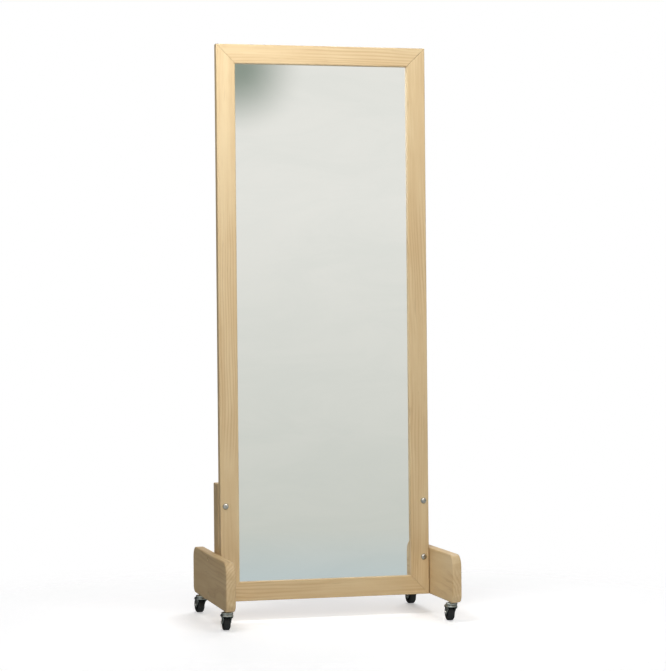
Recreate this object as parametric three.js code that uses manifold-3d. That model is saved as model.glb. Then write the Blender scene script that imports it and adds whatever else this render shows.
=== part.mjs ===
// Rolling floor mirror: a tall mitred wooden frame on two plank feet with swivel casters.
//
// Millimetres, +Z up, +X to the right and +Y to the back as seen by someone in front of the mirror.
// The origin is on the floor, in the middle of the footprint. The plane Y = 0 is the back of the
// frame, where the posts are bolted on, and it is also the middle of the feet's length.

import * as THREE from "three";
import { mergeVertices } from "three/addons/utils/BufferGeometryUtils.js";
import Module from "manifold-3d";

const wasm = await Module();
wasm.setup();

// ---------------------------------------------------------------- driving dimensions

const SEAT_GAP = 0.3; // between two pieces that rest on each other
const CUT_MARGIN = 1; // how far a cutting solid runs past the faces that it cuts
const EDGE_ROUND = 3; // eased edges of the boards
const FOOT_EDGE_ROUND = 5; // the feet are rounded over more

const FRAME_WIDTH = 711;
const FRAME_HEIGHT = 1829;
const FRAME_THICKNESS = 32;
const FRAME_LIFT = 2; // from the bottom of the feet up to the bottom of the frame
const MEMBER_FACE = 63; // width of a stile or rail, seen from the front
const LIP_DEPTH = 12; // wood in front of the glass
const RABBET_WIDTH = 12; // how far the glass runs in behind the lip
const MITRE_GAP = 0.3; // glue line

const BISCUIT_LENGTH = 56;
const BISCUIT_WIDTH = 23;
const BISCUIT_THICKNESS = 4;
const BISCUIT_SETBACK = 8; // from the frame's front face to the middle of the biscuit
const BISCUIT_CLEARANCE = 0.3;

const PANE_THICKNESS = 6;
const BACKING_THICKNESS = 5;
const PANE_CLEARANCE = 1.5; // at the sides and the top; the pane rests on the bottom rail
const STOP_CHAMFER = 4;

const POST_WIDTH = 38;
const POST_DEPTH = 76;
const POST_HEIGHT = 387;
const POST_OVERHANG = 1.5; // the post stands proud of the stile's outer edge
const POST_END_CHAMFER = 2;

const FOOT_LENGTH = 578;
const FOOT_HEIGHT = 157;
const FOOT_THICKNESS = 32;
const FOOT_TOP_RADIUS = 38;
const FOOT_BOTTOM_RADIUS = 25;

const BOLT_RADIUS = 4;
const BOLT_INSET = 18; // from the stile's outer edge
const BOLT_HEIGHTS = { lower: 125, upper: 313 }; // above the bottom of the frame
const BOLT_HEAD_RADIUS = 10;
const BOLT_HEAD_HEIGHT = 5;
const BOLT_HOLE_CLEARANCE = 0.5;
const BOLT_TIP_CHAMFER = 1;
const HEX_RADIUS = 3.4; // corner radius of the hexagon sockets
const HEX_DEPTH = 2.6;

const SLEEVE_RADIUS = 5.6;
const SLEEVE_LENGTH = 28;
const SLEEVE_HEAD_HEIGHT = 3.6;
const SLEEVE_FLOOR = 3; // metal left between the bore and the head
const SLEEVE_CLEARANCE = 0.4;

const SCREW_RADIUS = 3;
const SCREW_LENGTH = 58;
const SCREW_TIP = 7;
const SCREW_HEAD_RADIUS = 6;
const SCREW_HEAD_HEIGHT = 4;
const SCREW_HEAD_EDGE = 0.5; // height of the head's straight edge
const SCREW_SINK = 1.5; // the head sits this far below the foot's face
const SCREW_SETBACK = 20; // behind the back of the frame
const SCREW_HEIGHTS = { lower: 26, upper: 139 }; // above the bottom of the foot
const SCREW_CLEARANCE = 0.4;

const CASTER_HEIGHT = 65; // from the floor to the bottom of the foot
const CASTER_END_INSET = 64; // from the foot's end to the swivel axis
const CASTER_TRAIL = 22; // from the swivel axis back to the axle
const CASTER_TURN = { front_left: 0, front_right: 0, rear_left: 9, rear_right: 8 }; // degrees

const WHEEL_RADIUS = 25.5;
const TYRE_WIDTH = 21;
const TYRE_THICKNESS = 6.2;
const TYRE_SHOULDER = 2.6;
const TYRE_GAP = 0.35;

const HUB_RADIUS = 7;
const HUB_OVERHANG = 1; // how far the hub stands out of the tyre at each side
const HUB_WEB = 5;
const HUB_DRAFT = 1; // slope of the moulding's walls, from the web to their ends
const RIM_WIDTH = 19;
const RIM_THICKNESS = 3;

const AXLE_RADIUS = 3;
const AXLE_HEAD_RADIUS = 5.6;
const AXLE_HEAD_HEIGHT = 2.4;
const AXLE_HEAD_END = 3.9; // radius of the flat end of its riveted heads
const AXLE_CLEARANCE = 0.35;

const STEM_RADIUS = 4;
const STEM_LENGTH = 27;
const SOCKET_WALL = 1.8;
const SOCKET_LENGTH = 30;
const SOCKET_FLANGE_RADIUS = 9.5;
const SOCKET_FLANGE = 1.5;
const SOCKET_CLEARANCE = 0.4;

const COLLAR_RADIUS = 7.5;
const COLLAR_HEIGHT = 2.5; // shoulder of the stem between the socket and the raceway
const RACE_RADIUS = 19.5;
const RACE_WALL = 1.6;
const RACE_RIM = 6.2; // height of the fixed raceway's rim
const RACE_CHAMFER = 1.6;
const KINGPIN_RADIUS = 5;
const KINGPIN_HEAD_RADIUS = 7.6;
const KINGPIN_HEAD_HEIGHT = 2.3;
const KINGPIN_HEAD_END = 5.3; // radius of the flat end of its peened head
const SWIVEL_GAP = 0.4; // between the pieces that swivel on each other

const BALL_RADIUS = 2;
const BALL_COUNT = 8;
const BALL_PITCH_RADIUS = 12.5;
const CAGE_WIDTH = 2;
const CAGE_THICKNESS = 1;

const SHEET = 2; // pressed steel of the fork
const FORK_SIDE_GAP = 0.4; // between the hub and a fork leg
const FORK_SHOULDER = 5;
const MOVING_RACE_RADIUS = 15.8;
const CROWN_RADIUS = 19; // of the fork's round front, and half the fork's width at the top
const CROWN_BACK = 21; // reach of the fork's top behind the swivel axis
const CROWN_SKIRT = 7; // straight wall under the crown
const CROWN_LAP = 0.1; // how far the channel and the crown's front run into each other

// Facets round a turned piece.
const SMALL_SIDES = 10; // screws
const PLAIN_SIDES = 12; // bores, stems and axles
const ROUND_SIDES = 14; // raceways and hubs
const HEAD_SIDES = 16; // bolt heads
const CROWN_SIDES = 16; // a multiple of four, so that flats meet the channel's walls
const WHEEL_SIDES = 28; // an even number, so that a flat meets the floor
const LEG_FRONT = 12; // where the legs' front edges leave the crown
const LEG_TAPER = 8; // height over which the legs draw in to the wheel
const LEG_END_RADIUS = 9;

// ---------------------------------------------------------------- places worked out from them

const FOOT_BOTTOM = CASTER_HEIGHT;
const FRAME_BOTTOM = FOOT_BOTTOM + FRAME_LIFT;
const FRAME_MIDDLE = FRAME_BOTTOM + FRAME_HEIGHT / 2;
const FRAME_FRONT = -FRAME_THICKNESS;
const RABBET_FACE = FRAME_FRONT + LIP_DEPTH;

const RABBET_OFFSET = MEMBER_FACE - RABBET_WIDTH; // from the frame's outer edge to the rabbet's wall
const RABBET_SPACE_WIDTH = FRAME_WIDTH - 2 * RABBET_OFFSET;
const RABBET_SPACE_HEIGHT = FRAME_HEIGHT - 2 * RABBET_OFFSET;
const PANE_FRONT = RABBET_FACE + SEAT_GAP;
const BACKING_FRONT = PANE_FRONT + PANE_THICKNESS + SEAT_GAP;
const STOP_FRONT = BACKING_FRONT + BACKING_THICKNESS + SEAT_GAP;

const POST_FRONT = SEAT_GAP;
const POST_BACK = POST_FRONT + POST_DEPTH;
const POST_OUTER = FRAME_WIDTH / 2 + POST_OVERHANG;
const FOOT_INNER = POST_OUTER + SEAT_GAP;
const FOOT_OUTER = FOOT_INNER + FOOT_THICKNESS;
const FOOT_MIDDLE = FOOT_INNER + FOOT_THICKNESS / 2;
const BOLT_X = FRAME_WIDTH / 2 - BOLT_INSET;

const SWIVEL_Y = FOOT_LENGTH / 2 - CASTER_END_INSET;
const AXLE_DROP = CASTER_HEIGHT - WHEEL_RADIUS; // below the bottom of the foot
const SOCKET_BORE = STEM_RADIUS + SOCKET_CLEARANCE;
const SOCKET_OUTER = SOCKET_BORE + SOCKET_WALL;
const SOCKET_HOLE = SOCKET_OUTER + SOCKET_CLEARANCE;

const COLLAR_TOP = -(SOCKET_FLANGE + 2 * SEAT_GAP);
const RACE_TOP = COLLAR_TOP - COLLAR_HEIGHT;
const RACE_UNDERSIDE = RACE_TOP - RACE_WALL;
const RACE_BOTTOM = RACE_TOP - RACE_RIM;
const BALL_Z = RACE_UNDERSIDE - SEAT_GAP - BALL_RADIUS;
const MOVING_RACE_TOP = BALL_Z - BALL_RADIUS - SEAT_GAP;
const CHANNEL_TOP = RACE_BOTTOM - SWIVEL_GAP;
const CHANNEL_UNDERSIDE = CHANNEL_TOP - SHEET;
const KINGPIN_HEAD_TOP = CHANNEL_UNDERSIDE - SWIVEL_GAP;
const SKIRT_BOTTOM = CHANNEL_TOP - CROWN_SKIRT;

const TYRE_INNER = WHEEL_RADIUS - TYRE_THICKNESS;
const RIM_RADIUS = TYRE_INNER - TYRE_GAP;
const HUB_HALF = TYRE_WIDTH / 2 + HUB_OVERHANG;
const LEG_INNER = HUB_HALF + FORK_SIDE_GAP;
const LEG_OUTER = LEG_INNER + SHEET;

// ---------------------------------------------------------------- materials

const oak = new THREE.MeshStandardMaterial({ color: 0xd9b88a, roughness: 0.5, metalness: 0 });
const beech = new THREE.MeshStandardMaterial({ color: 0xc9a877, roughness: 0.8, metalness: 0 });
const silvered = new THREE.MeshStandardMaterial({ color: 0xe2e6e2, roughness: 0.03, metalness: 1 });
const hardboard = new THREE.MeshStandardMaterial({ color: 0x7a5433, roughness: 0.85, metalness: 0 });
const nickel = new THREE.MeshStandardMaterial({ color: 0xc6c3ba, roughness: 0.3, metalness: 1 });
const zinc = new THREE.MeshStandardMaterial({ color: 0xa9aca8, roughness: 0.4, metalness: 1 });
const blackPlastic = new THREE.MeshStandardMaterial({ color: 0x1b1c1d, roughness: 0.55, metalness: 0 });
const rubber = new THREE.MeshStandardMaterial({ color: 0x141414, roughness: 0.8, metalness: 0 });

// ---------------------------------------------------------------- solids

// A geometry's positions alone, with shared corners merged.
function bare(geometry) {
  geometry.deleteAttribute("normal");
  geometry.deleteAttribute("uv");
  return mergeVertices(geometry);
}

function toSolid(geometry) {
  const merged = bare(geometry);
  const vertProperties = new Float32Array(merged.attributes.position.array);
  const triVerts = new Uint32Array(merged.index.array);
  return new wasm.Manifold(new wasm.Mesh({ numProp: 3, vertProperties, triVerts }));
}

function toGeometry(solid) {
  const mesh = solid.getMesh();
  const geometry = new THREE.BufferGeometry();
  geometry.setAttribute("position", new THREE.BufferAttribute(mesh.vertProperties, 3));
  geometry.setIndex(new THREE.BufferAttribute(mesh.triVerts, 1));
  return geometry;
}

// The first solid with all the others taken away.
function cut(solid, tools) {
  return tools.reduce((left, tool) => left.subtract(tool), solid);
}

function part(name, geometry, material) {
  const mesh = new THREE.Mesh(geometry, material);
  mesh.name = name;
  return mesh;
}

// An upright cylinder between two heights.
function cylinder(radius, bottom, top, sides = PLAIN_SIDES) {
  const geometry = new THREE.CylinderGeometry(radius, radius, top - bottom, sides);
  geometry.rotateX(Math.PI / 2);
  geometry.translate(0, 0, (bottom + top) / 2);
  return geometry;
}

// A turned piece about the Z axis. Each point of its profile is [radius, height]. A profile that
// stays off the axis is closed on itself, and the faces look outwards when it runs upwards.
function turned(profile, sides) {
  const points = profile.map(([radius, height]) => new THREE.Vector2(radius, height));
  const onAxis = profile[0][0] === 0;
  if (!onAxis) points.push(points[0].clone());
  const geometry = new THREE.LatheGeometry(points, sides, Math.PI / sides);
  geometry.rotateX(Math.PI / 2);
  return bare(geometry);
}

// The cycle of axes that turns a drawing of (Y, Z) with thickness along X into its place.
function drawnFromTheSide(geometry) {
  const x = new THREE.Vector3(1, 0, 0);
  const y = new THREE.Vector3(0, 1, 0);
  const z = new THREE.Vector3(0, 0, 1);
  return geometry.applyMatrix4(new THREE.Matrix4().makeBasis(y, z, x));
}

// A rectangle with a radius at each corner, from its low corner: [low, high] are the radii of the
// bottom and the top corners.
function roundedRectangle(left, bottom, width, height, [low, high]) {
  const right = left + width;
  const top = bottom + height;
  const shape = new THREE.Shape();
  shape.moveTo(left + low, bottom);
  shape.lineTo(right - low, bottom);
  shape.absarc(right - low, bottom + low, low, -Math.PI / 2, 0);
  shape.lineTo(right, top - high);
  shape.absarc(right - high, top - high, high, 0, Math.PI / 2);
  shape.lineTo(left + high, top);
  shape.absarc(left + high, top - high, high, Math.PI / 2, Math.PI);
  shape.lineTo(left, bottom + low);
  shape.absarc(left + low, bottom + low, low, Math.PI, 1.5 * Math.PI);
  return shape;
}

// A shape pulled up from Z = 0 to a height, with its end edges eased in one step or more.
function easedPrism(shape, height, ease, { curveSegments, bevelSegments }) {
  const geometry = new THREE.ExtrudeGeometry(shape, {
    depth: height - 2 * ease,
    bevelThickness: ease,
    bevelSize: ease,
    bevelOffset: -ease,
    bevelSegments,
    curveSegments,
  });
  geometry.translate(0, 0, ease);
  return bare(geometry);
}

// ---------------------------------------------------------------- the mitred frame

// The section of a stile or rail: across is the distance from the frame's outer edge. The glass
// lies in the rabbet behind the lip.
function memberSection() {
  const ease = EDGE_ROUND;
  const section = new THREE.Shape();
  section.moveTo(ease, FRAME_FRONT);
  section.lineTo(MEMBER_FACE - ease, FRAME_FRONT);
  section.absarc(MEMBER_FACE - ease, FRAME_FRONT + ease, ease, -Math.PI / 2, 0);
  section.lineTo(MEMBER_FACE, RABBET_FACE);
  section.lineTo(RABBET_OFFSET, RABBET_FACE);
  section.lineTo(RABBET_OFFSET, 0);
  section.lineTo(ease, 0);
  section.absarc(ease, -ease, ease, Math.PI / 2, Math.PI);
  section.lineTo(0, FRAME_FRONT + ease);
  section.absarc(ease, FRAME_FRONT + ease, ease, Math.PI, 1.5 * Math.PI);
  return section;
}

// The lens of a joining biscuit, or of its slot, which is larger by a clearance all round.
function biscuit(clearance) {
  const half = BISCUIT_LENGTH / 2 + clearance;
  const rise = BISCUIT_WIDTH / 2 + clearance;
  const radius = (half * half + rise * rise) / (2 * rise);
  const reach = Math.asin(half / radius);
  const lens = new THREE.Shape();
  lens.absarc(0, rise - radius, radius, Math.PI / 2 - reach, Math.PI / 2 + reach);
  lens.absarc(0, radius - rise, radius, -Math.PI / 2 - reach, -Math.PI / 2 + reach);
  const depth = BISCUIT_THICKNESS + 2 * clearance;
  const geometry = new THREE.ExtrudeGeometry(lens, { depth, bevelEnabled: false, curveSegments: 3 });
  geometry.translate(0, 0, -depth / 2);
  geometry.rotateX(Math.PI / 2);
  return bare(geometry);
}

const BISCUIT_Y = FRAME_FRONT + BISCUIT_SETBACK;

// A biscuit's slot at one end of a member; end is +1 or -1.
function biscuitSlot(length, end) {
  const slot = biscuit(BISCUIT_CLEARANCE);
  slot.rotateY((end * Math.PI) / 4);
  slot.translate(MEMBER_FACE / 2, BISCUIT_Y, end * (length / 2 - MEMBER_FACE / 2));
  return toSolid(slot);
}

// A stile or rail along Z with its outer edge at X = 0. Each point of the section ends short by its
// distance from the outer edge, which is the 45 degree mitre. boltHoles are heights along it.
function frameMember(length, boltHoles) {
  const geometry = bare(
    new THREE.ExtrudeGeometry(memberSection(), { depth: 2, bevelEnabled: false, curveSegments: 2 }),
  );
  const position = geometry.attributes.position;
  for (let i = 0; i < position.count; i += 1) {
    const side = position.getZ(i) - 1;
    position.setZ(i, side * (length / 2 - position.getX(i) - MITRE_GAP / Math.SQRT2));
  }
  const holes = boltHoles.map((height) => {
    const end = FRAME_THICKNESS + CUT_MARGIN;
    const hole = cylinder(BOLT_RADIUS + BOLT_HOLE_CLEARANCE, -CUT_MARGIN, end);
    hole.rotateX(Math.PI / 2);
    hole.translate(BOLT_INSET, 0, height);
    return toSolid(hole);
  });
  return toGeometry(
    cut(toSolid(geometry), [biscuitSlot(length, 1), biscuitSlot(length, -1), ...holes]),
  );
}

function mitredFrame() {
  const group = new THREE.Group();
  group.position.z = FRAME_MIDDLE;
  const halfWidth = FRAME_WIDTH / 2;
  const halfHeight = FRAME_HEIGHT / 2;
  const holes = Object.values(BOLT_HEIGHTS).map((height) => height - halfHeight);

  const leftStile = part("left_stile", frameMember(FRAME_HEIGHT, holes), oak);
  leftStile.position.x = -halfWidth;

  const turnedHoles = holes.map((height) => -height);
  const rightStile = part("right_stile", frameMember(FRAME_HEIGHT, turnedHoles), oak);
  rightStile.position.x = halfWidth;
  rightStile.rotation.y = Math.PI;

  const topRail = part("top_rail", frameMember(FRAME_WIDTH, []), oak);
  topRail.position.z = halfHeight;
  topRail.rotation.y = Math.PI / 2;

  const bottomRail = part("bottom_rail", frameMember(FRAME_WIDTH, []), oak);
  bottomRail.position.z = -halfHeight;
  bottomRail.rotation.y = -Math.PI / 2;

  group.add(leftStile, rightStile, topRail, bottomRail);
  for (const [vertical, up] of [["top", 1], ["bottom", -1]]) {
    for (const [side, right] of [["left", -1], ["right", 1]]) {
      const joiner = part(`biscuit_${vertical}_${side}`, biscuit(0), beech);
      joiner.rotation.y = (-up * right * Math.PI) / 4;
      joiner.position.set(
        right * (halfWidth - MEMBER_FACE / 2),
        BISCUIT_Y,
        up * (halfHeight - MEMBER_FACE / 2),
      );
      group.add(joiner);
    }
  }
  return group;
}

// ---------------------------------------------------------------- glass, backing and stops

// A panel that fills the rabbet and rests on the bottom rail.
function rabbetPanel(name, front, thickness, material) {
  const width = RABBET_SPACE_WIDTH - 2 * PANE_CLEARANCE;
  const height = RABBET_SPACE_HEIGHT - PANE_CLEARANCE - SEAT_GAP;
  const panel = part(name, new THREE.BoxGeometry(width, thickness, height), material);
  const bottom = FRAME_BOTTOM + RABBET_OFFSET + SEAT_GAP;
  panel.position.set(0, front + thickness / 2, bottom + height / 2);
  return panel;
}

// A wooden stop along Z in the rabbet behind the backing, with its outer edge at X = 0.
function backStop(length) {
  const width = RABBET_WIDTH - 2 * SEAT_GAP;
  const section = new THREE.Shape();
  section.moveTo(0, STOP_FRONT);
  section.lineTo(width, STOP_FRONT);
  section.lineTo(width, -STOP_CHAMFER);
  section.lineTo(width - STOP_CHAMFER, 0);
  section.lineTo(0, 0);
  const geometry = new THREE.ExtrudeGeometry(section, { depth: length, bevelEnabled: false });
  geometry.translate(0, 0, -length / 2);
  return bare(geometry);
}

function backStops() {
  const group = new THREE.Group();
  group.position.z = FRAME_MIDDLE;
  const halfWidth = RABBET_SPACE_WIDTH / 2 - SEAT_GAP;
  const halfHeight = RABBET_SPACE_HEIGHT / 2 - SEAT_GAP;
  const upright = backStop(2 * halfHeight);
  const level = backStop(2 * (halfWidth - RABBET_WIDTH + SEAT_GAP));

  const left = part("back_stop_left", upright, oak);
  left.position.x = -halfWidth;
  const right = part("back_stop_right", upright, oak);
  right.position.x = halfWidth;
  right.rotation.y = Math.PI;
  const top = part("back_stop_top", level, oak);
  top.position.z = halfHeight;
  top.rotation.y = Math.PI / 2;
  const bottom = part("back_stop_bottom", level, oak);
  bottom.position.z = -halfHeight;
  bottom.rotation.y = -Math.PI / 2;
  group.add(left, right, top, bottom);
  return group;
}

// ---------------------------------------------------------------- posts and feet

// A screw's hole through the foot and into the post. It is drawn along Z, with the foot's outer
// face at Z = 0 and the post below, and it holds the screw with a clearance.
function screwHole() {
  const wide = SCREW_HEAD_RADIUS + SCREW_CLEARANCE;
  const narrow = SCREW_RADIUS + SCREW_CLEARANCE;
  const seat = -SCREW_SINK - SCREW_HEAD_HEIGHT - SCREW_CLEARANCE;
  return turned(
    [
      [0, -SCREW_SINK - SCREW_LENGTH - SCREW_CLEARANCE],
      [narrow, -SCREW_SINK - SCREW_LENGTH - SCREW_CLEARANCE],
      [narrow, seat],
      [wide, -SCREW_SINK - SCREW_CLEARANCE],
      [wide, CUT_MARGIN],
      [0, CUT_MARGIN],
    ],
    SMALL_SIDES,
  );
}

// Both screw holes of a side, which is -1 or +1, in their places.
function screwHoles(side) {
  return Object.values(SCREW_HEIGHTS).map((height) => {
    const hole = screwHole();
    hole.rotateY((side * Math.PI) / 2);
    hole.translate(side * FOOT_OUTER, SCREW_SETBACK, FOOT_BOTTOM + height);
    return toSolid(hole);
  });
}

function post(side) {
  const left = side < 0 ? -POST_OUTER : POST_OUTER - POST_WIDTH;
  const radii = [EDGE_ROUND, EDGE_ROUND];
  const shape = roundedRectangle(left, POST_FRONT, POST_WIDTH, POST_DEPTH, radii);
  const block = easedPrism(shape, POST_HEIGHT, POST_END_CHAMFER, { curveSegments: 2, bevelSegments: 1 });
  block.translate(0, 0, FOOT_BOTTOM);
  const bolts = Object.values(BOLT_HEIGHTS).flatMap((height) => {
    const start = -POST_BACK - CUT_MARGIN;
    const shank = cylinder(BOLT_RADIUS + BOLT_HOLE_CLEARANCE, start, CUT_MARGIN);
    const sleeve = cylinder(SLEEVE_RADIUS + SLEEVE_CLEARANCE, start, SLEEVE_LENGTH - POST_BACK);
    return [shank, sleeve].map((hole) => {
      hole.rotateX(Math.PI / 2);
      hole.translate(side * BOLT_X, 0, FRAME_BOTTOM + height);
      return toSolid(hole);
    });
  });
  return toGeometry(cut(toSolid(block), [...bolts, ...screwHoles(side)]));
}

function foot(side) {
  const radii = [FOOT_BOTTOM_RADIUS, FOOT_TOP_RADIUS];
  const shape = roundedRectangle(-FOOT_LENGTH / 2, FOOT_BOTTOM, FOOT_LENGTH, FOOT_HEIGHT, radii);
  const rounding = { curveSegments: 3, bevelSegments: 2 };
  const plank = drawnFromTheSide(easedPrism(shape, FOOT_THICKNESS, FOOT_EDGE_ROUND, rounding));
  plank.translate(side < 0 ? -FOOT_OUTER : FOOT_INNER, 0, 0);
  const sockets = [-SWIVEL_Y, SWIVEL_Y].map((y) => {
    const hole = cylinder(SOCKET_HOLE, -CUT_MARGIN, SOCKET_LENGTH + SEAT_GAP);
    hole.translate(side * FOOT_MIDDLE, y, FOOT_BOTTOM);
    return toSolid(hole);
  });
  return toGeometry(cut(toSolid(plank), [...sockets, ...screwHoles(side)]));
}

// ---------------------------------------------------------------- fasteners

// A hexagon socket that opens upwards at a height.
function hexSocket(top) {
  return toSolid(cylinder(HEX_RADIUS, top - HEX_DEPTH, top + CUT_MARGIN, 6));
}

// The dome of a head that stands on Z = 0, from its rim to its middle.
function dome(radius, height) {
  const points = [];
  for (const step of [1, 2]) {
    const angle = (step * Math.PI) / 6;
    points.push([radius * Math.cos(angle), height * Math.sin(angle)]);
  }
  points.push([0, height]);
  return points;
}

// A bolt that points down, with the underside of its domed head at Z = 0.
function frameBolt() {
  const tip = -(FRAME_THICKNESS + SEAT_GAP + POST_BACK - SLEEVE_FLOOR - SEAT_GAP);
  const body = turned(
    [
      [0, tip],
      [BOLT_RADIUS - BOLT_TIP_CHAMFER, tip],
      [BOLT_RADIUS, tip + BOLT_TIP_CHAMFER],
      [BOLT_RADIUS, 0],
      [BOLT_HEAD_RADIUS, 0],
      ...dome(BOLT_HEAD_RADIUS, BOLT_HEAD_HEIGHT),
    ],
    HEAD_SIDES,
  );
  return toGeometry(cut(toSolid(body), [hexSocket(BOLT_HEAD_HEIGHT)]));
}

// The sleeve nut that the bolt screws into, pointing down, with its head's underside at Z = 0.
function sleeveNut() {
  const bore = BOLT_RADIUS + SLEEVE_CLEARANCE;
  const body = turned(
    [
      [0, -SLEEVE_FLOOR + SEAT_GAP],
      [bore, -SLEEVE_FLOOR + SEAT_GAP],
      [bore, -SLEEVE_LENGTH + SEAT_GAP],
      [SLEEVE_RADIUS, -SLEEVE_LENGTH + SEAT_GAP],
      [SLEEVE_RADIUS, 0],
      [BOLT_HEAD_RADIUS, 0],
      ...dome(BOLT_HEAD_RADIUS, SLEEVE_HEAD_HEIGHT),
    ],
    PLAIN_SIDES,
  );
  return toGeometry(cut(toSolid(body), [hexSocket(SLEEVE_HEAD_HEIGHT)]));
}

// A countersunk screw that points down, with the top of its head at Z = 0.
function footScrew() {
  const body = turned(
    [
      [0, -SCREW_LENGTH],
      [SCREW_RADIUS, -SCREW_LENGTH + SCREW_TIP],
      [SCREW_RADIUS, -SCREW_HEAD_HEIGHT],
      [SCREW_HEAD_RADIUS, -SCREW_HEAD_EDGE],
      [SCREW_HEAD_RADIUS, 0],
      [0, 0],
    ],
    SMALL_SIDES,
  );
  return toGeometry(cut(toSolid(body), [hexSocket(0)]));
}

function fasteners() {
  const group = new THREE.Group();
  for (const [name, side] of [["left", -1], ["right", 1]]) {
    for (const level of ["lower", "upper"]) {
      const boltHeight = FRAME_BOTTOM + BOLT_HEIGHTS[level];
      const bolt = part(`frame_bolt_${name}_${level}`, frameBolt(), nickel);
      bolt.position.set(side * BOLT_X, FRAME_FRONT - SEAT_GAP, boltHeight);
      bolt.rotation.x = Math.PI / 2;
      const nut = part(`sleeve_nut_${name}_${level}`, sleeveNut(), nickel);
      nut.position.set(side * BOLT_X, POST_BACK + SEAT_GAP, boltHeight);
      nut.rotation.x = -Math.PI / 2;

      const screw = part(`foot_screw_${name}_${level}`, footScrew(), zinc);
      const screwHeight = FOOT_BOTTOM + SCREW_HEIGHTS[level];
      screw.position.set(side * (FOOT_OUTER - SCREW_SINK), SCREW_SETBACK, screwHeight);
      screw.rotation.y = (side * Math.PI) / 2;
      group.add(bolt, nut, screw);
    }
  }
  return group;
}

// ---------------------------------------------------------------- casters
// Each is drawn about its swivel axis, with Z = 0 at the bottom of the foot.

// The pressed-in sleeve that takes the stem.
function stemSocket() {
  return turned(
    [
      [SOCKET_BORE, -SEAT_GAP - SOCKET_FLANGE],
      [SOCKET_FLANGE_RADIUS, -SEAT_GAP - SOCKET_FLANGE],
      [SOCKET_FLANGE_RADIUS, -SEAT_GAP],
      [SOCKET_OUTER, -SEAT_GAP],
      [SOCKET_OUTER, SOCKET_LENGTH],
      [SOCKET_BORE, SOCKET_LENGTH],
    ],
    PLAIN_SIDES,
  );
}

// The stem, the fixed raceway cup and the kingpin with its peened head, in one riveted piece.
function stemRace() {
  return turned(
    [
      [0, KINGPIN_HEAD_TOP - KINGPIN_HEAD_HEIGHT],
      [KINGPIN_HEAD_END, KINGPIN_HEAD_TOP - KINGPIN_HEAD_HEIGHT],
      [KINGPIN_HEAD_RADIUS, KINGPIN_HEAD_TOP],
      [KINGPIN_RADIUS, KINGPIN_HEAD_TOP],
      [KINGPIN_RADIUS, RACE_UNDERSIDE],
      [RACE_RADIUS - RACE_WALL, RACE_UNDERSIDE],
      [RACE_RADIUS - RACE_WALL, RACE_BOTTOM],
      [RACE_RADIUS, RACE_BOTTOM],
      [RACE_RADIUS, RACE_TOP - RACE_CHAMFER],
      [RACE_RADIUS - RACE_CHAMFER, RACE_TOP],
      [COLLAR_RADIUS, RACE_TOP],
      [COLLAR_RADIUS, COLLAR_TOP],
      [STEM_RADIUS, COLLAR_TOP],
      [STEM_RADIUS, STEM_LENGTH],
      [0, STEM_LENGTH],
    ],
    ROUND_SIDES,
  );
}

// The balls that the fork turns on, held together by their cage.
function ballRing() {
  const cage = turned(
    [
      [BALL_PITCH_RADIUS - CAGE_WIDTH / 2, BALL_Z - CAGE_THICKNESS / 2],
      [BALL_PITCH_RADIUS + CAGE_WIDTH / 2, BALL_Z - CAGE_THICKNESS / 2],
      [BALL_PITCH_RADIUS + CAGE_WIDTH / 2, BALL_Z + CAGE_THICKNESS / 2],
      [BALL_PITCH_RADIUS - CAGE_WIDTH / 2, BALL_Z + CAGE_THICKNESS / 2],
    ],
    BALL_COUNT,
  );
  let ring = toSolid(cage);
  for (let i = 0; i < BALL_COUNT; i += 1) {
    const angle = (i / BALL_COUNT) * 2 * Math.PI;
    const ball = new THREE.SphereGeometry(BALL_RADIUS, 5, 3);
    ball.rotateX(Math.PI / 2);
    ball.translate(BALL_PITCH_RADIUS * Math.cos(angle), BALL_PITCH_RADIUS * Math.sin(angle), BALL_Z);
    ring = ring.add(toSolid(ball));
  }
  return toGeometry(ring);
}

// One wall of the fork's bent sheet from the shoulder down, as [X, Z]: straight under the crown,
// then drawn in to the wheel. inset is the distance inside the outer face, 0 or the sheet itself.
function channelWall(inset) {
  const turn = Math.atan2(CROWN_RADIUS - LEG_OUTER, LEG_TAPER);
  const rise = inset * Math.tan(turn / 2);
  return [
    [CROWN_RADIUS - inset, CHANNEL_TOP - FORK_SHOULDER],
    [CROWN_RADIUS - inset, SKIRT_BOTTOM + rise],
    [LEG_OUTER - inset, SKIRT_BOTTOM - LEG_TAPER + rise],
    [LEG_OUTER - inset, -AXLE_DROP - LEG_END_RADIUS - CUT_MARGIN],
  ];
}

// The fork's bent sheet seen from the front: a channel that opens downwards, pulled along Y.
function forkChannel() {
  const outside = channelWall(0);
  const inside = channelWall(SHEET);
  const centre = CROWN_RADIUS - FORK_SHOULDER; // of the right shoulder's bend
  const bend = CHANNEL_TOP - FORK_SHOULDER;
  const inner = FORK_SHOULDER - SHEET;
  const section = new THREE.Shape();
  section.moveTo(...outside[3]);
  outside.toReversed().forEach(([x, z]) => section.lineTo(x, z));
  section.absarc(centre, bend, FORK_SHOULDER, 0, Math.PI / 2);
  section.absarc(-centre, bend, FORK_SHOULDER, Math.PI / 2, Math.PI);
  outside.forEach(([x, z]) => section.lineTo(-x, z));
  inside.toReversed().forEach(([x, z]) => section.lineTo(-x, z));
  section.absarc(-centre, bend, inner, Math.PI, Math.PI / 2, true);
  section.absarc(centre, bend, inner, Math.PI / 2, 0, true);
  inside.forEach(([x, z]) => section.lineTo(x, z));
  const length = LEG_FRONT + CASTER_TRAIL + LEG_END_RADIUS + 2 * CUT_MARGIN;
  const geometry = new THREE.ExtrudeGeometry(section, {
    depth: length,
    bevelEnabled: false,
    curveSegments: 1,
  });
  geometry.rotateX(Math.PI / 2);
  geometry.rotateZ(Math.PI);
  geometry.translate(0, -LEG_FRONT - CUT_MARGIN, 0);
  return bare(geometry);
}

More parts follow.
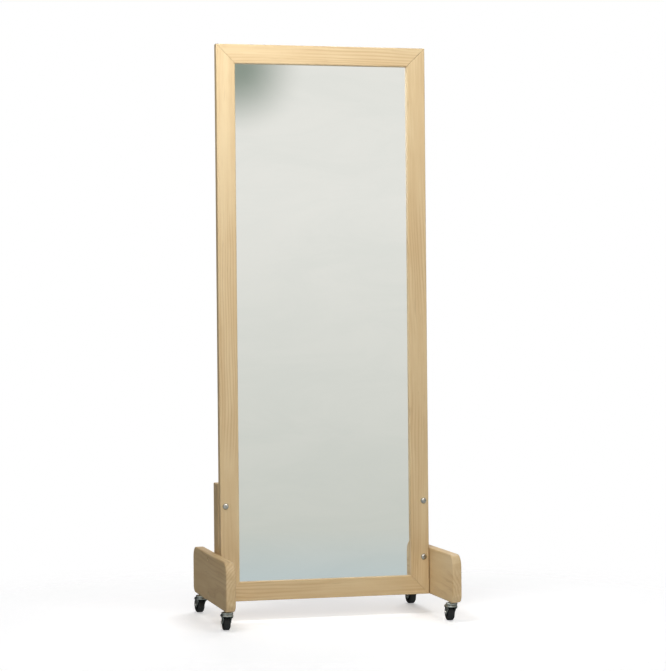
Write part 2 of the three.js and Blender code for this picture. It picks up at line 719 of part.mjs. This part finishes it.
// The angle at which a line from a point touches the axle's eye; side is +1 or -1.
function tangentAngle(y, z, side) {
  const towards = Math.atan2(z + AXLE_DROP, y - CASTER_TRAIL);
  const distance = Math.hypot(z + AXLE_DROP, y - CASTER_TRAIL);
  return towards + side * Math.acos(LEG_END_RADIUS / distance);
}

// The fork seen from the side: its legs taper back and down from the crown to the axle's eye.
function legOutline() {
  const start = tangentAngle(-LEG_FRONT, SKIRT_BOTTOM, 1);
  const end = tangentAngle(CROWN_BACK, SKIRT_BOTTOM, -1) + 2 * Math.PI;
  const outline = new THREE.Shape();
  outline.moveTo(CROWN_BACK, CHANNEL_TOP + CUT_MARGIN);
  outline.lineTo(-LEG_FRONT, CHANNEL_TOP + CUT_MARGIN);
  outline.lineTo(-LEG_FRONT, SKIRT_BOTTOM);
  outline.absarc(CASTER_TRAIL, -AXLE_DROP, LEG_END_RADIUS, start, end);
  outline.lineTo(CROWN_BACK, SKIRT_BOTTOM);
  const depth = 2 * (CROWN_RADIUS + CUT_MARGIN);
  const geometry = new THREE.ExtrudeGeometry(outline, {
    depth,
    bevelEnabled: false,
    curveSegments: 5,
  });
  geometry.translate(0, 0, -depth / 2);
  return drawnFromTheSide(geometry);
}

// The crown's rounded shoulder from its wall up to its top, as [radius, height], at a distance
// inside its outer face.
function crownShoulder(inset) {
  const radius = FORK_SHOULDER - inset;
  const centre = CROWN_RADIUS - FORK_SHOULDER;
  const bend = CHANNEL_TOP - FORK_SHOULDER;
  return [
    [centre + radius, bend],
    [centre + radius * Math.SQRT1_2, bend + radius * Math.SQRT1_2],
    [centre, bend + radius],
  ];
}

// A turned solid whose flats, and not its corners, lie at the profile's radii.
function turnedToFlats(profile, sides) {
  const stretch = 1 / Math.cos(Math.PI / sides);
  return toSolid(turned(profile.map(([radius, height]) => [radius * stretch, height]), sides));
}

// Room for the bent channel: inside the crown's outer face at the front, and open behind.
function channelRoom() {
  const bottom = -AXLE_DROP - LEG_END_RADIUS - 2 * CUT_MARGIN;
  const height = CHANNEL_TOP + CUT_MARGIN - bottom;
  const length = CASTER_TRAIL + LEG_END_RADIUS + 2 * CUT_MARGIN;
  const behind = new THREE.BoxGeometry(2 * (CROWN_RADIUS + CUT_MARGIN), length, height);
  behind.translate(0, length / 2, bottom + height / 2);
  const front = [
    [0, bottom],
    [CROWN_RADIUS - CROWN_LAP, bottom],
    ...crownShoulder(CROWN_LAP),
    [0, CHANNEL_TOP - CROWN_LAP],
  ];
  return turnedToFlats(front, CROWN_SIDES).add(toSolid(behind));
}

// The pressed crown's round front: the front half of a shallow cup that opens downwards.
function crownFront() {
  const cup = [
    [0, CHANNEL_UNDERSIDE],
    ...crownShoulder(SHEET).toReversed(),
    [CROWN_RADIUS - SHEET, SKIRT_BOTTOM],
    [CROWN_RADIUS, SKIRT_BOTTOM],
    ...crownShoulder(0),
    [0, CHANNEL_TOP],
  ];
  const reach = 2 * CROWN_RADIUS;
  const half = new THREE.BoxGeometry(2 * reach, reach, reach);
  half.translate(0, CROWN_LAP - reach / 2, CHANNEL_TOP);
  return turnedToFlats(cup, CROWN_SIDES).intersect(toSolid(half));
}

// A bore along X through the axle's place.
function axleBore(radius, half) {
  const bore = cylinder(radius, -half, half);
  bore.rotateY(Math.PI / 2);
  bore.translate(0, CASTER_TRAIL, -AXLE_DROP);
  return bore;
}

// The pressed steel fork: a bent channel trimmed to the legs' outline, closed by the crown's round
// front, with the moving raceway on top and holes for the kingpin and the axle.
function fork() {
  const raceway = cylinder(MOVING_RACE_RADIUS, CHANNEL_UNDERSIDE, MOVING_RACE_TOP, ROUND_SIDES);
  const pinHole = cylinder(
    KINGPIN_RADIUS + SWIVEL_GAP,
    CHANNEL_UNDERSIDE - CUT_MARGIN,
    MOVING_RACE_TOP + CUT_MARGIN,
  );
  const axleHole = axleBore(AXLE_RADIUS + AXLE_CLEARANCE, LEG_OUTER + CUT_MARGIN);
  const legs = toSolid(forkChannel()).intersect(toSolid(legOutline())).intersect(channelRoom());
  const whole = legs.add(crownFront()).add(toSolid(raceway));
  return toGeometry(cut(whole, [toSolid(pinHole), toSolid(axleHole)]));
}

// The riveted axle along X, with a domed head outside each leg.
function axle() {
  const head = LEG_OUTER + SEAT_GAP;
  const end = head + AXLE_HEAD_HEIGHT;
  return turned(
    [
      [0, -end],
      [AXLE_HEAD_END, -end],
      [AXLE_HEAD_RADIUS, -head],
      [AXLE_RADIUS, -head],
      [AXLE_RADIUS, head],
      [AXLE_HEAD_RADIUS, head],
      [AXLE_HEAD_END, end],
      [0, end],
    ],
    PLAIN_SIDES,
  );
}

// The moulded wheel centre: hub, dished web and rim.
function wheelHub() {
  const bore = AXLE_RADIUS + AXLE_CLEARANCE;
  const webHalf = HUB_WEB / 2;
  const rimHalf = RIM_WIDTH / 2;
  return turned(
    [
      [bore, -HUB_HALF],
      [HUB_RADIUS, -HUB_HALF],
      [HUB_RADIUS + HUB_DRAFT, -webHalf],
      [RIM_RADIUS - RIM_THICKNESS - HUB_DRAFT, -webHalf],
      [RIM_RADIUS - RIM_THICKNESS, -rimHalf],
      [RIM_RADIUS, -rimHalf],
      [RIM_RADIUS, rimHalf],
      [RIM_RADIUS - RIM_THICKNESS, rimHalf],
      [RIM_RADIUS - RIM_THICKNESS - HUB_DRAFT, webHalf],
      [HUB_RADIUS + HUB_DRAFT, webHalf],
      [HUB_RADIUS, HUB_HALF],
      [bore, HUB_HALF],
    ],
    ROUND_SIDES,
  );
}

// The rubber tyre. Its corners lie outside the rolling radius, so that its flats lie on it.
function tyre() {
  const stretch = 1 / Math.cos(Math.PI / WHEEL_SIDES);
  const outer = WHEEL_RADIUS * stretch;
  const shoulder = (WHEEL_RADIUS - TYRE_SHOULDER) * stretch;
  const inner = TYRE_INNER * stretch;
  const half = TYRE_WIDTH / 2;
  return turned(
    [
      [inner, -half],
      [shoulder, -half],
      [outer, TYRE_SHOULDER - half],
      [outer, half - TYRE_SHOULDER],
      [shoulder, half],
      [inner, half],
    ],
    WHEEL_SIDES,
  );
}

// A piece of the wheel, drawn about Z, laid on the axle.
function onAxle(name, geometry, material) {
  const mesh = part(name, geometry, material);
  mesh.rotation.y = Math.PI / 2;
  mesh.position.set(0, CASTER_TRAIL, -AXLE_DROP);
  return mesh;
}

function caster(place, x, y) {
  const fixed = new THREE.Group();
  fixed.position.set(x, y, FOOT_BOTTOM);
  fixed.add(part(`${place}_stem_socket`, stemSocket(), zinc));
  fixed.add(part(`${place}_stem_race`, stemRace(), zinc));

  const swivel = new THREE.Group();
  swivel.rotation.z = THREE.MathUtils.degToRad(CASTER_TURN[place]);
  swivel.add(part(`${place}_ball_ring`, ballRing(), nickel));
  swivel.add(part(`${place}_fork`, fork(), zinc));
  swivel.add(onAxle(`${place}_axle`, axle(), nickel));
  swivel.add(onAxle(`${place}_wheel_hub`, wheelHub(), blackPlastic));
  swivel.add(onAxle(`${place}_tyre`, tyre(), rubber));
  fixed.add(swivel);
  return fixed;
}

// ---------------------------------------------------------------- the whole mirror

const mirror = new THREE.Group();
mirror.add(mitredFrame());
mirror.add(rabbetPanel("mirror_pane", PANE_FRONT, PANE_THICKNESS, silvered));
mirror.add(rabbetPanel("backing_panel", BACKING_FRONT, BACKING_THICKNESS, hardboard));
mirror.add(backStops());
for (const [name, side] of [["left", -1], ["right", 1]]) {
  mirror.add(part(`${name}_post`, post(side), oak));
  mirror.add(part(`${name}_foot`, foot(side), oak));
  mirror.add(caster(`front_${name}`, side * FOOT_MIDDLE, -SWIVEL_Y));
  mirror.add(caster(`rear_${name}`, side * FOOT_MIDDLE, SWIVEL_Y));
}
mirror.add(fasteners());

export default mirror;
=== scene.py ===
import math

import bpy
from mathutils import Matrix, Vector

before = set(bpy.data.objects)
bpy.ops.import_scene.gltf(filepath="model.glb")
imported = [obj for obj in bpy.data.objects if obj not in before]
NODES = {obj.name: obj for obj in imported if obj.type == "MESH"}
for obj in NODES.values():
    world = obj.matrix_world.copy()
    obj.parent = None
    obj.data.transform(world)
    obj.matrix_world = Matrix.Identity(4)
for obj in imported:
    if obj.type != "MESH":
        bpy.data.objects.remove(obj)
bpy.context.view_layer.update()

X, Y, Z = 0, 1, 2


# ---------------------------------------------------------------- camera

PICTURE_HEIGHT = 671  # pixels, and the picture is 666 wide
FOCAL_PIXELS = 2117.1
SENSOR = 36  # mm
CLIP = (0.05, 200)  # m
CAMERA_PLACE = Vector((-1.6746, -6.8453, 0.9647))
CAMERA_YAW = math.radians(14.0488)
CAMERA_PITCH = math.radians(-0.2283)
CAMERA_ROLL = math.radians(-0.5362)


def make_camera():
    data = bpy.data.cameras.new("camera")
    camera = bpy.data.objects.new("camera", data)
    bpy.context.scene.collection.objects.link(camera)
    bpy.context.scene.camera = camera
    data.sensor_width = SENSOR
    data.lens = FOCAL_PIXELS / PICTURE_HEIGHT * SENSOR
    data.clip_start, data.clip_end = CLIP
    ahead = Vector((
        math.sin(CAMERA_YAW) * math.cos(CAMERA_PITCH),
        math.cos(CAMERA_YAW) * math.cos(CAMERA_PITCH),
        math.sin(CAMERA_PITCH),
    ))
    level = Vector((math.cos(CAMERA_YAW), -math.sin(CAMERA_YAW), 0))
    upright = level.cross(ahead)
    right = level * math.cos(CAMERA_ROLL) + upright * math.sin(CAMERA_ROLL)
    up = upright * math.cos(CAMERA_ROLL) - level * math.sin(CAMERA_ROLL)
    turn = Matrix((right, up, -ahead)).transposed().to_4x4()
    camera.matrix_world = Matrix.Translation(CAMERA_PLACE) @ turn


# ---------------------------------------------------------------- node helpers

EDGE_SAMPLES = 6


class Tree:
    """A node tree with short ways to add and join nodes."""

    def __init__(self, tree):
        self.tree = tree
        tree.nodes.clear()

    def add(self, kind, props=None, **inputs):
        """A new node. In the names of its inputs, _ stands for a space."""
        node = self.tree.nodes.new(kind)
        for name, value in (props or {}).items():
            setattr(node, name, value)
        for name, value in inputs.items():
            self.feed(node, name.replace("_", " "), value)
        return node

    def feed(self, node, name, value):
        """Links an output, or sets a value, to an input given by its name or number."""
        socket = node.inputs[int(name)] if name.isdigit() else node.inputs[name]
        if isinstance(value, bpy.types.NodeSocket):
            self.tree.links.new(value, socket)
        else:
            socket.default_value = value

    def math(self, operation, a, b=0.0, c=0.0):
        node = self.tree.nodes.new("ShaderNodeMath")
        node.operation = operation
        for index, value in enumerate((a, b, c)):
            self.feed(node, str(index), value)
        return node.outputs[0]

    def vector(self, operation, a, b):
        node = self.tree.nodes.new("ShaderNodeVectorMath")
        node.operation = operation
        self.feed(node, "0", a)
        self.feed(node, "1", b)
        return node.outputs[0]

    def noise(self, vector, scale, detail, roughness, distortion=0.0):
        node = self.add("ShaderNodeTexNoise", Vector=vector, Scale=scale, Detail=detail,
                        Roughness=roughness, Distortion=distortion)
        return node.outputs["Fac"]

    def drawn(self, vector, factors, *noise):
        """Noise with more waves along an axis the larger its factor is."""
        return self.noise(self.vector("MULTIPLY", vector, factors), *noise)

    def ramp(self, value, *stops):
        """stops are (position, colour or grey)."""
        node = self.tree.nodes.new("ShaderNodeValToRGB")
        self.feed(node, "Fac", value)
        elements = node.color_ramp.elements
        while len(elements) < len(stops):
            elements.new(0.5)
        for element, (position, colour) in zip(elements, stops):
            element.position = position
            if not hasattr(colour, "__len__"):
                colour = (colour, colour, colour)
            element.color = (*colour, 1)
        return node.outputs["Color"]

    def mix(self, factor, a, b):
        """Colour a where factor is 0, and b where it is 1."""
        node = self.tree.nodes.new("ShaderNodeMix")
        node.data_type = "RGBA"
        self.feed(node, "0", factor)
        for socket, value in ((node.inputs[6], a), (node.inputs[7], b)):
            if isinstance(value, bpy.types.NodeSocket):
                self.tree.links.new(value, socket)
            else:
                socket.default_value = (*value, 1)
        return node.outputs[2]

    def span(self, value, low, high, to_low=0.0, to_high=1.0):
        """A smooth step from to_low to to_high as the value goes from low to high."""
        node = self.add("ShaderNodeMapRange", {"interpolation_type": "SMOOTHSTEP"})
        for index, number in enumerate((value, low, high, to_low, to_high)):
            self.feed(node, str(index), number)
        return node.outputs[0]

    def relief(self, shader, height, strength, distance, ease=None):
        """Bumps a surface, and where ease is given rounds its edges to the eye by that radius."""
        bump = self.add("ShaderNodeBump", Strength=strength, Distance=distance, Height=height)
        if ease:
            rounded = self.add("ShaderNodeBevel", {"samples": EDGE_SAMPLES}, Radius=ease)
            self.feed(bump, "Normal", rounded.outputs[0])
        self.feed(shader, "Normal", bump.outputs[0])


def srgb(*levels):
    """Linear values of a colour written in levels of 0 to 255."""
    shares = [level / 255 for level in levels]
    return tuple(x / 12.92 if x <= 0.04045 else ((x + 0.055) / 1.055) ** 2.4 for x in shares)


def scaled(colour, factor):
    return tuple(value * factor for value in colour)


def new_material(name):
    material = bpy.data.materials.new(name)
    material.use_nodes = True
    tree = Tree(material.node_tree)
    shader = tree.add("ShaderNodeBsdfPrincipled")
    output = tree.add("ShaderNodeOutputMaterial")
    tree.tree.links.new(shader.outputs[0], output.inputs["Surface"])
    coordinates = tree.add("ShaderNodeTexCoord").outputs["Object"]
    return material, tree, shader, coordinates


def dress(material, *names):
    """Gives nodes a material in place of their plain one."""
    for name in names:
        mesh = NODES[name].data
        mesh.materials.clear()
        mesh.materials.append(material)


def dress_named(material, starts=(), ends=()):
    """Gives a material to each node whose name starts or ends with one of these."""
    dress(material, *[name for name in NODES if name.startswith(starts) or name.endswith(ends)])


# ---------------------------------------------------------------- wood

PALE = srgb(230, 206, 162)
WARM = srgb(213, 183, 136)
DEEP = srgb(187, 148, 103)
STREAK = srgb(152, 115, 78)

# how much of the darker colours the figure of the wood mixes in
WARM_SPREAD = 0.6
CLOUD_SHARE = 0.4
RING_SHARE = 0.58
FIBRE_SHARE = 0.2
PORE_SHARE = 0.26
FLECK_SHARE = 0.24

BOARD_EASE = 0.0028  # m, the roundness that a board's edges show
SEED_SHIFT = (1.37, 0.61, 0.29)  # m of timber, along, across and through it, between two seeds
WANDER = 0.06  # m, how far the fibres stray
HEART_SHIFT = 0.013  # m, how far the tree's heart lies beside a board's middle
RING_SCALE = 34.0
RING_LENGTH = 0.05  # how fast rings change along the board, for 1 across it
# how dark a growth ring is, from its early wood to its late wood
RING_TONES = ((0.0, 0.0), (0.5, 0.06), (0.84, 0.5), (0.96, 0.85), (1.0, 0.4))
WOOD_ROUGHNESS = 0.38

# node, axis of the grain, axis of the width, seed, distance of the heart (m) and warmth
BOARDS = (
    ("left_stile", Z, X, 1.0, 0.09, 0.0),
    ("right_stile", Z, X, 2.0, 0.11, 0.12),
    ("top_rail", X, Z, 3.0, 0.06, 0.0),
    ("bottom_rail", X, Z, 4.0, 0.10, 0.3),
    ("left_post", Z, X, 5.0, 0.05, 0.35),
    ("right_post", Z, X, 6.0, 0.07, 0.35),
    ("left_foot", Y, Z, 7.0, 0.08, 0.3),
    ("right_foot", Y, Z, 8.0, 0.10, 0.3),
)


def streaks(t, fibre, along, across, *noise):
    """Noise drawn out along the grain, with so many waves a metre along and across it."""
    return t.drawn(fibre, (along, across, across), 1.0, *noise)


def growth_rings(t, board, moved, bend, seed, pith):
    """Rings about a heart that lies behind the board, which show in some stretches only."""
    heart = (0.0, HEART_SHIFT * math.sin(seed * 2.3), pith)
    round_heart = t.vector("ADD", t.vector("ADD", board, bend), heart)
    rings = t.add("ShaderNodeTexWave",
                  {"wave_type": "RINGS", "rings_direction": "X", "wave_profile": "SIN"},
                  Vector=t.vector("MULTIPLY", round_heart, (RING_LENGTH, 1.0, 1.0)),
                  Scale=RING_SCALE, Distortion=3.4, Detail=3.0, Detail_Scale=1.1,
                  Detail_Roughness=0.6).outputs["Fac"]
    present = t.span(streaks(t, moved, 2.4, 9.0, 1.0, 0.4), 0.40, 0.66)
    return t.math("MULTIPLY", t.ramp(rings, *RING_TONES), present)


def wood(name, along, across, seed, pith, tone=0.0):
    """Lacquered pale hardwood. along and across are the axes of the grain and of the board's width,
    pith is the distance in metres of the tree's heart, and a board with more tone is warmer."""
    material, t, shader, coordinates = new_material(name)
    depth = X + Y + Z - along - across
    split = t.add("ShaderNodeSeparateXYZ", Vector=coordinates).outputs
    board = t.add("ShaderNodeCombineXYZ", X=split[along], Y=split[across], Z=split[depth]).outputs[0]
    moved = t.vector("ADD", board, scaled(SEED_SHIFT, seed))

    # the fibres wander slowly along the board
    slow = t.vector("MULTIPLY", moved, (1.3, 6.0, 6.0))
    wander = t.add("ShaderNodeTexNoise", Vector=slow, Scale=1.0, Detail=2.0).outputs["Color"]
    bend = t.vector("MULTIPLY", t.vector("SUBTRACT", wander, (0.5, 0.5, 0.5)), (0.0, WANDER, WANDER))
    fibre = t.vector("ADD", moved, bend)

    rings = growth_rings(t, board, moved, bend, seed, pith)
    fine = streaks(t, fibre, 6.0, 480.0, 4.0, 0.6)
    broad = streaks(t, fibre, 2.6, 44.0, 3.0, 0.5, 0.5)
    cloud = streaks(t, fibre, 4.0, 13.0, 2.0, 0.5, 0.9)
    pores = t.span(streaks(t, fibre, 52.0, 1600.0, 2.0, 0.5), 0.67, 0.76)
    flecks = t.span(streaks(t, fibre, 9.0, 95.0, 1.0, 0.4, 0.8), 0.68, 0.82)

    colour = t.mix(t.span(broad, 0.25, 0.75, tone, WARM_SPREAD + tone), PALE, WARM)
    colour = t.mix(t.span(cloud, 0.40, 0.72, 0.0, CLOUD_SHARE), colour, WARM)
    colour = t.mix(t.math("MULTIPLY", rings, RING_SHARE), colour, DEEP)
    colour = t.mix(t.span(fine, 0.45, 0.8, 0.0, FIBRE_SHARE), colour, DEEP)
    colour = t.mix(t.math("MULTIPLY", pores, PORE_SHARE), colour, STREAK)
    colour = t.mix(t.math("MULTIPLY", flecks, FLECK_SHARE), colour, STREAK)
    t.feed(shader, "Base Color", colour)

    rough = t.math("MULTIPLY_ADD", fine, 0.16, WOOD_ROUGHNESS)
    t.feed(shader, "Roughness", t.math("MULTIPLY_ADD", pores, 0.12, rough))
    shader.inputs["Specular IOR Level"].default_value = 0.35
    shader.inputs["Coat Weight"].default_value = 0.08
    shader.inputs["Coat Roughness"].default_value = 0.35
    raised = t.math("MULTIPLY_ADD", fine, 0.5, t.math("MULTIPLY", rings, 0.25))
    height = t.math("SUBTRACT", raised, t.math("MULTIPLY", pores, 0.6))
    t.relief(shader, height, 0.2, 0.0003, BOARD_EASE)
    return material


def pressed_fibre(name, low, high, scale, roughness):
    """Pressed wood fibre, as in biscuits and hardboard."""
    material, t, shader, coordinates = new_material(name)
    chips = t.noise(coordinates, scale, 6.0, 0.65, 0.4)
    specks = t.noise(coordinates, scale * 5, 3.0, 0.6)
    hairs = t.drawn(coordinates, (1.0, 1.0, 6.0), scale * 2, 3.0, 0.6, 2.5)
    colour = t.mix(t.span(chips, 0.3, 0.7), low, high)
    colour = t.mix(t.span(hairs, 0.58, 0.7, 0.0, 0.3), colour, scaled(high, 1.35))
    colour = t.mix(t.span(specks, 0.55, 0.75, 0.0, 0.4), colour, scaled(low, 0.6))
    t.feed(shader, "Base Color", colour)
    t.feed(shader, "Roughness", t.math("MULTIPLY_ADD", chips, 0.15, roughness))
    t.relief(shader, t.math("MULTIPLY_ADD", hairs, 0.6, specks), 0.35, 0.0004)
    return material


# ---------------------------------------------------------------- glass, metal, plastic, rubber

# the silvering's colour, and a slightly darker one that soft level bands of painted reflection mix in
SILVERING = srgb(241, 242, 240)
SILVERING_PAINTED_BAND = srgb(237, 239, 237)
DUST = srgb(112, 108, 102)


def silvered(name):
    """Mirror glass with soft level bands of painted reflection in its colour, and faint wipe marks in
    its roughness.
    """
    material, t, shader, coordinates = new_material(name)
    # painted reflection: soft level bands, as of a wavy backdrop, painted into the glass's colour
    painted_bands = t.drawn(coordinates, (1.1, 1.0, 3.6), 2.0, 5.0, 0.6, 0.8)
    wipe = t.drawn(coordinates, (3.0, 1.0, 8.0), 1.0, 3.0, 0.55, 1.2)
    t.feed(shader, "Base Color", t.mix(t.span(painted_bands, 0.3, 0.7), SILVERING, SILVERING_PAINTED_BAND))
    shader.inputs["Metallic"].default_value = 1.0
    t.feed(shader, "Roughness", t.math("MULTIPLY_ADD", t.span(wipe, 0.45, 0.8), 0.012, 0.02))
    return material


def plated(name, bright, dull, roughness, grain, ease):
    """Plated metal with handling marks. grain says how fine its level brush lines are."""
    material, t, shader, coordinates = new_material(name)
    blotch = t.noise(coordinates, 90.0, 4.0, 0.6, 0.6)
    speck = t.noise(coordinates, 900.0, 3.0, 0.6)
    lines = t.drawn(coordinates, (1.0, 1.0, grain), 350.0, 3.0, 0.6)
    colour = t.mix(t.span(blotch, 0.35, 0.7), bright, dull)
    colour = t.mix(t.span(speck, 0.62, 0.75, 0.0, 0.35), colour, scaled(dull, 0.55))
    t.feed(shader, "Base Color", colour)
    shader.inputs["Metallic"].default_value = 1.0
    rough = t.math("MULTIPLY_ADD", blotch, 0.16, roughness)
    t.feed(shader, "Roughness", t.math("MULTIPLY_ADD", t.span(lines, 0.5, 0.8), 0.1, rough))
    t.relief(shader, t.math("MULTIPLY_ADD", lines, 0.4, speck), 0.12, 0.0001, ease)
    return material


def moulded(name, dark, light, roughness, dust, ease):
    """Black plastic or rubber with a little floor dust."""
    material, t, shader, coordinates = new_material(name)
    cloud = t.noise(coordinates, 60.0, 5.0, 0.6, 0.5)
    fine = t.noise(coordinates, 1400.0, 2.0, 0.5)
    scuff = t.drawn(coordinates, (6.0, 1.0, 1.0), 160.0, 4.0, 0.6, 1.0)
    colour = t.mix(t.span(cloud, 0.3, 0.7), dark, light)
    colour = t.mix(t.span(scuff, 0.56, 0.74, 0.0, dust), colour, DUST)
    t.feed(shader, "Base Color", colour)
    t.feed(shader, "Roughness", t.math("MULTIPLY_ADD", cloud, 0.18, roughness))
    t.relief(shader, t.math("MULTIPLY_ADD", scuff, 0.6, fine), 0.2, 0.0002, ease)
    return material


def dress_all():
    for node, along, across, seed, pith, tone in BOARDS:
        dress(wood("wood_" + node, along, across, seed, pith, tone), node)
    dress(wood("wood_stops_upright", Z, X, 9.0, 0.04), "back_stop_left", "back_stop_right")
    dress(wood("wood_stops_level", X, Z, 10.0, 0.04), "back_stop_top", "back_stop_bottom")
    beech = pressed_fibre("pressed_beech", srgb(196, 164, 120), srgb(214, 184, 140), 300.0, 0.7)
    hardboard = pressed_fibre("hardboard", srgb(104, 70, 42), srgb(134, 94, 60), 220.0, 0.75)
    nickel = plated("nickel_plate", srgb(186, 183, 176), srgb(140, 137, 131), 0.14, 3.0, 0.0008)
    zinc = plated("zinc_plate", srgb(180, 183, 178), srgb(134, 138, 133), 0.32, 8.0, 0.0015)
    hub = moulded("moulded_hub", srgb(20, 21, 22), srgb(28, 29, 30), 0.46, 0.05, 0.0008)
    tyre = moulded("rubber_tyre", srgb(14, 14, 14), srgb(23, 23, 23), 0.66, 0.14, 0.002)
    dress(silvered("silvered_glass"), "mirror_pane")
    dress(hardboard, "backing_panel")
    dress_named(beech, starts=("biscuit_",))
    dress_named(nickel, starts=("frame_bolt_", "sleeve_nut_"), ends=("_axle", "_ball_ring"))
    dress_named(zinc, starts=("foot_screw_",), ends=("_fork", "_stem_race", "_stem_socket"))
    dress_named(hub, ends=("_wheel_hub",))
    dress_named(tyre, ends=("_tyre",))


# ---------------------------------------------------------------- floor

FLOOR_RADIUS = 9.0
FLOOR_SIDES = 96
FLOOR_GAP = 0.0005  # m, the floor lies this far under the wheels
FLOOR_TONES = ((0.84, 0.84, 0.85), (0.87, 0.87, 0.88))
FLOOR_LIFT = 0.37  # what the camera sees of the floor besides its lit colour
FLOOR_FADE = (0.6, 1.8)  # m from the middle


def make_floor():
    bpy.ops.mesh.primitive_circle_add(vertices=FLOOR_SIDES, radius=FLOOR_RADIUS, fill_type="NGON",
                                      location=(0, 0, -FLOOR_GAP))
    floor = bpy.context.object
    floor.name = "floor"
    material, t, shader, coordinates = new_material("studio_floor")
    mottle = t.noise(coordinates, 3.0, 4.0, 0.6)
    t.feed(shader, "Base Color", t.mix(mottle, *FLOOR_TONES))
    shader.inputs["Roughness"].default_value = 0.9
    shader.inputs["Specular IOR Level"].default_value = 0.1
    # to the camera the lit floor is as white as the background, and keeps its shadows
    path = t.add("ShaderNodeLightPath").outputs
    lift = t.add("ShaderNodeEmission", Strength=t.math("MULTIPLY", path["Is Camera Ray"], FLOOR_LIFT))
    lit = t.add("ShaderNodeAddShader")
    t.tree.links.new(shader.outputs[0], lit.inputs[0])
    t.tree.links.new(lift.outputs[0], lit.inputs[1])
    # to the camera it fades into the background all round, and polished faces see only the background
    distance = t.add("ShaderNodeVectorMath", {"operation": "LENGTH"})
    t.feed(distance, "0", coordinates)
    edge = t.math("MULTIPLY", t.span(distance.outputs["Value"], *FLOOR_FADE), path["Is Camera Ray"])
    clear = t.add("ShaderNodeBsdfTransparent")
    faded = t.add("ShaderNodeMixShader")
    t.feed(faded, "0", t.math("MAXIMUM", edge, path["Is Glossy Ray"]))
    t.tree.links.new(lit.outputs[0], faded.inputs[1])
    t.tree.links.new(clear.outputs[0], faded.inputs[2])
    output = next(n for n in t.tree.nodes if n.type == "OUTPUT_MATERIAL")
    t.tree.links.new(faded.outputs[0], output.inputs["Surface"])
    floor.data.materials.append(material)


# ---------------------------------------------------------------- studio

# Polished faces reflect a cool pale floor, and beyond its far edge a backdrop that gets paler
# upwards. Heights are sines of the angle at which it is seen.
STUDIO_FLOOR = srgb(185, 196, 198)
BACKDROP_LOW = srgb(200, 202, 196)
BACKDROP_HIGH = srgb(228, 227, 223)
FLOOR_EDGE = (-0.12, -0.095)
BACKDROP_TOP = 0.06
STUDIO_REACH = 0.2
REFLECTANCE = 0.875  # of the silvered glass

# a dark thing high up in front of the mirror, which shows soft-edged in its top left corner
FLAG_YAW = math.radians(11.5)
FLAG_RISE = math.radians(7.0)
FLAG_SOFT = (0.002, 0.034)
FLAG_COLOUR = srgb(140, 150, 140)

# behind the object the studio is dark: the sines between which its front turns into its rear
STUDIO_REAR = (0.07, 0.07, 0.07)
STUDIO_TURN = (-0.25, 0.45)

# the light of the room, from above more than from below, and from the right
AMBIENT_BELOW = 0.02
AMBIENT_ABOVE = 0.10
AMBIENT_RIGHT = 0.08


def reflected(colour):
    """The colour of a thing that the mirror shows in the colour given."""
    return scaled(colour, 1 / REFLECTANCE)


def studio_colour(t, split, direction):
    """What polished faces see in a direction."""
    height = t.add("ShaderNodeMapRange", Value=split[Z], From_Min=-STUDIO_REACH,
                   From_Max=STUDIO_REACH).outputs[0]
    tones = (
        (FLOOR_EDGE[0], STUDIO_FLOOR),
        (FLOOR_EDGE[1], BACKDROP_LOW),
        (BACKDROP_TOP, BACKDROP_HIGH),
    )
    stops = [((sine + STUDIO_REACH) / (2 * STUDIO_REACH), reflected(tone)) for sine, tone in tones]
    studio = t.ramp(height, *stops)
    flag = Vector((math.sin(FLAG_YAW), -math.cos(FLAG_YAW), math.tan(FLAG_RISE))).normalized()
    apart = t.add("ShaderNodeVectorMath", {"operation": "DISTANCE"})
    t.feed(apart, "0", direction)
    t.feed(apart, "1", flag)
    studio = t.mix(t.span(apart.outputs["Value"], *FLAG_SOFT), reflected(FLAG_COLOUR), studio)
    return t.mix(t.span(split[Y], *STUDIO_TURN), studio, STUDIO_REAR)


def make_world():
    world = bpy.data.worlds.new("studio")
    bpy.context.scene.world = world
    world.use_nodes = True
    t = Tree(world.node_tree)
    direction = t.add("ShaderNodeTexCoord").outputs["Generated"]
    split = t.add("ShaderNodeSeparateXYZ", Vector=direction).outputs
    path = t.add("ShaderNodeLightPath").outputs
    above = t.span(split[Z], -0.4, 1.0, AMBIENT_BELOW, AMBIENT_ABOVE)
    ambient = t.math("MULTIPLY_ADD", t.span(split[X], -0.3, 1.0), AMBIENT_RIGHT, above)
    shade = t.add("ShaderNodeCombineColor", Red=ambient, Green=ambient, Blue=ambient).outputs[0]
    studio = studio_colour(t, split, direction)
    seen = t.mix(path["Is Camera Ray"], studio, (1.0, 1.0, 1.0))
    polished = t.math("MAXIMUM", path["Is Glossy Ray"], path["Is Transmission Ray"])
    shows = t.math("MAXIMUM", path["Is Camera Ray"], polished)
    background = t.add("ShaderNodeBackground", Color=t.mix(shows, shade, seen), Strength=1.0)
    output = t.add("ShaderNodeOutputWorld")
    t.tree.links.new(background.outputs[0], output.inputs["Surface"])


# ---------------------------------------------------------------- lamps

# name, place, the point it is aimed at, width and height in metres, and power in watts
LAMPS = (
    ("high_left", (-0.9, -1.2, 2.9), (-0.1, 0, 1.6), 1.0, 0.8, 31),
    ("high_right", (0.9, -2.2, 3.4), (0, 0, 1.2), 1.4, 1.2, 24),
    ("front", (-0.6, -4.2, 2.4), (0, 0, 1.2), 1.8, 1.6, 40),
    ("back", (0.9, 2.6, 3.0), (0, 0, 0.8), 1.8, 1.4, 66),
)


def make_lamp(name, place, target, width, height, power):
    data = bpy.data.lights.new(name, "AREA")
    data.shape = "RECTANGLE"
    data.size = width
    data.size_y = height
    data.energy = power
    lamp = bpy.data.objects.new(name, data)
    bpy.context.scene.collection.objects.link(lamp)
    lamp.location = place
    lamp.rotation_euler = (Vector(target) - Vector(place)).to_track_quat("-Z", "Y").to_euler()


make_camera()
dress_all()
make_floor()
make_world()
for lamp_values in LAMPS:
    make_lamp(*lamp_values)

scene = bpy.context.scene
scene.view_settings.view_transform = "Standard"
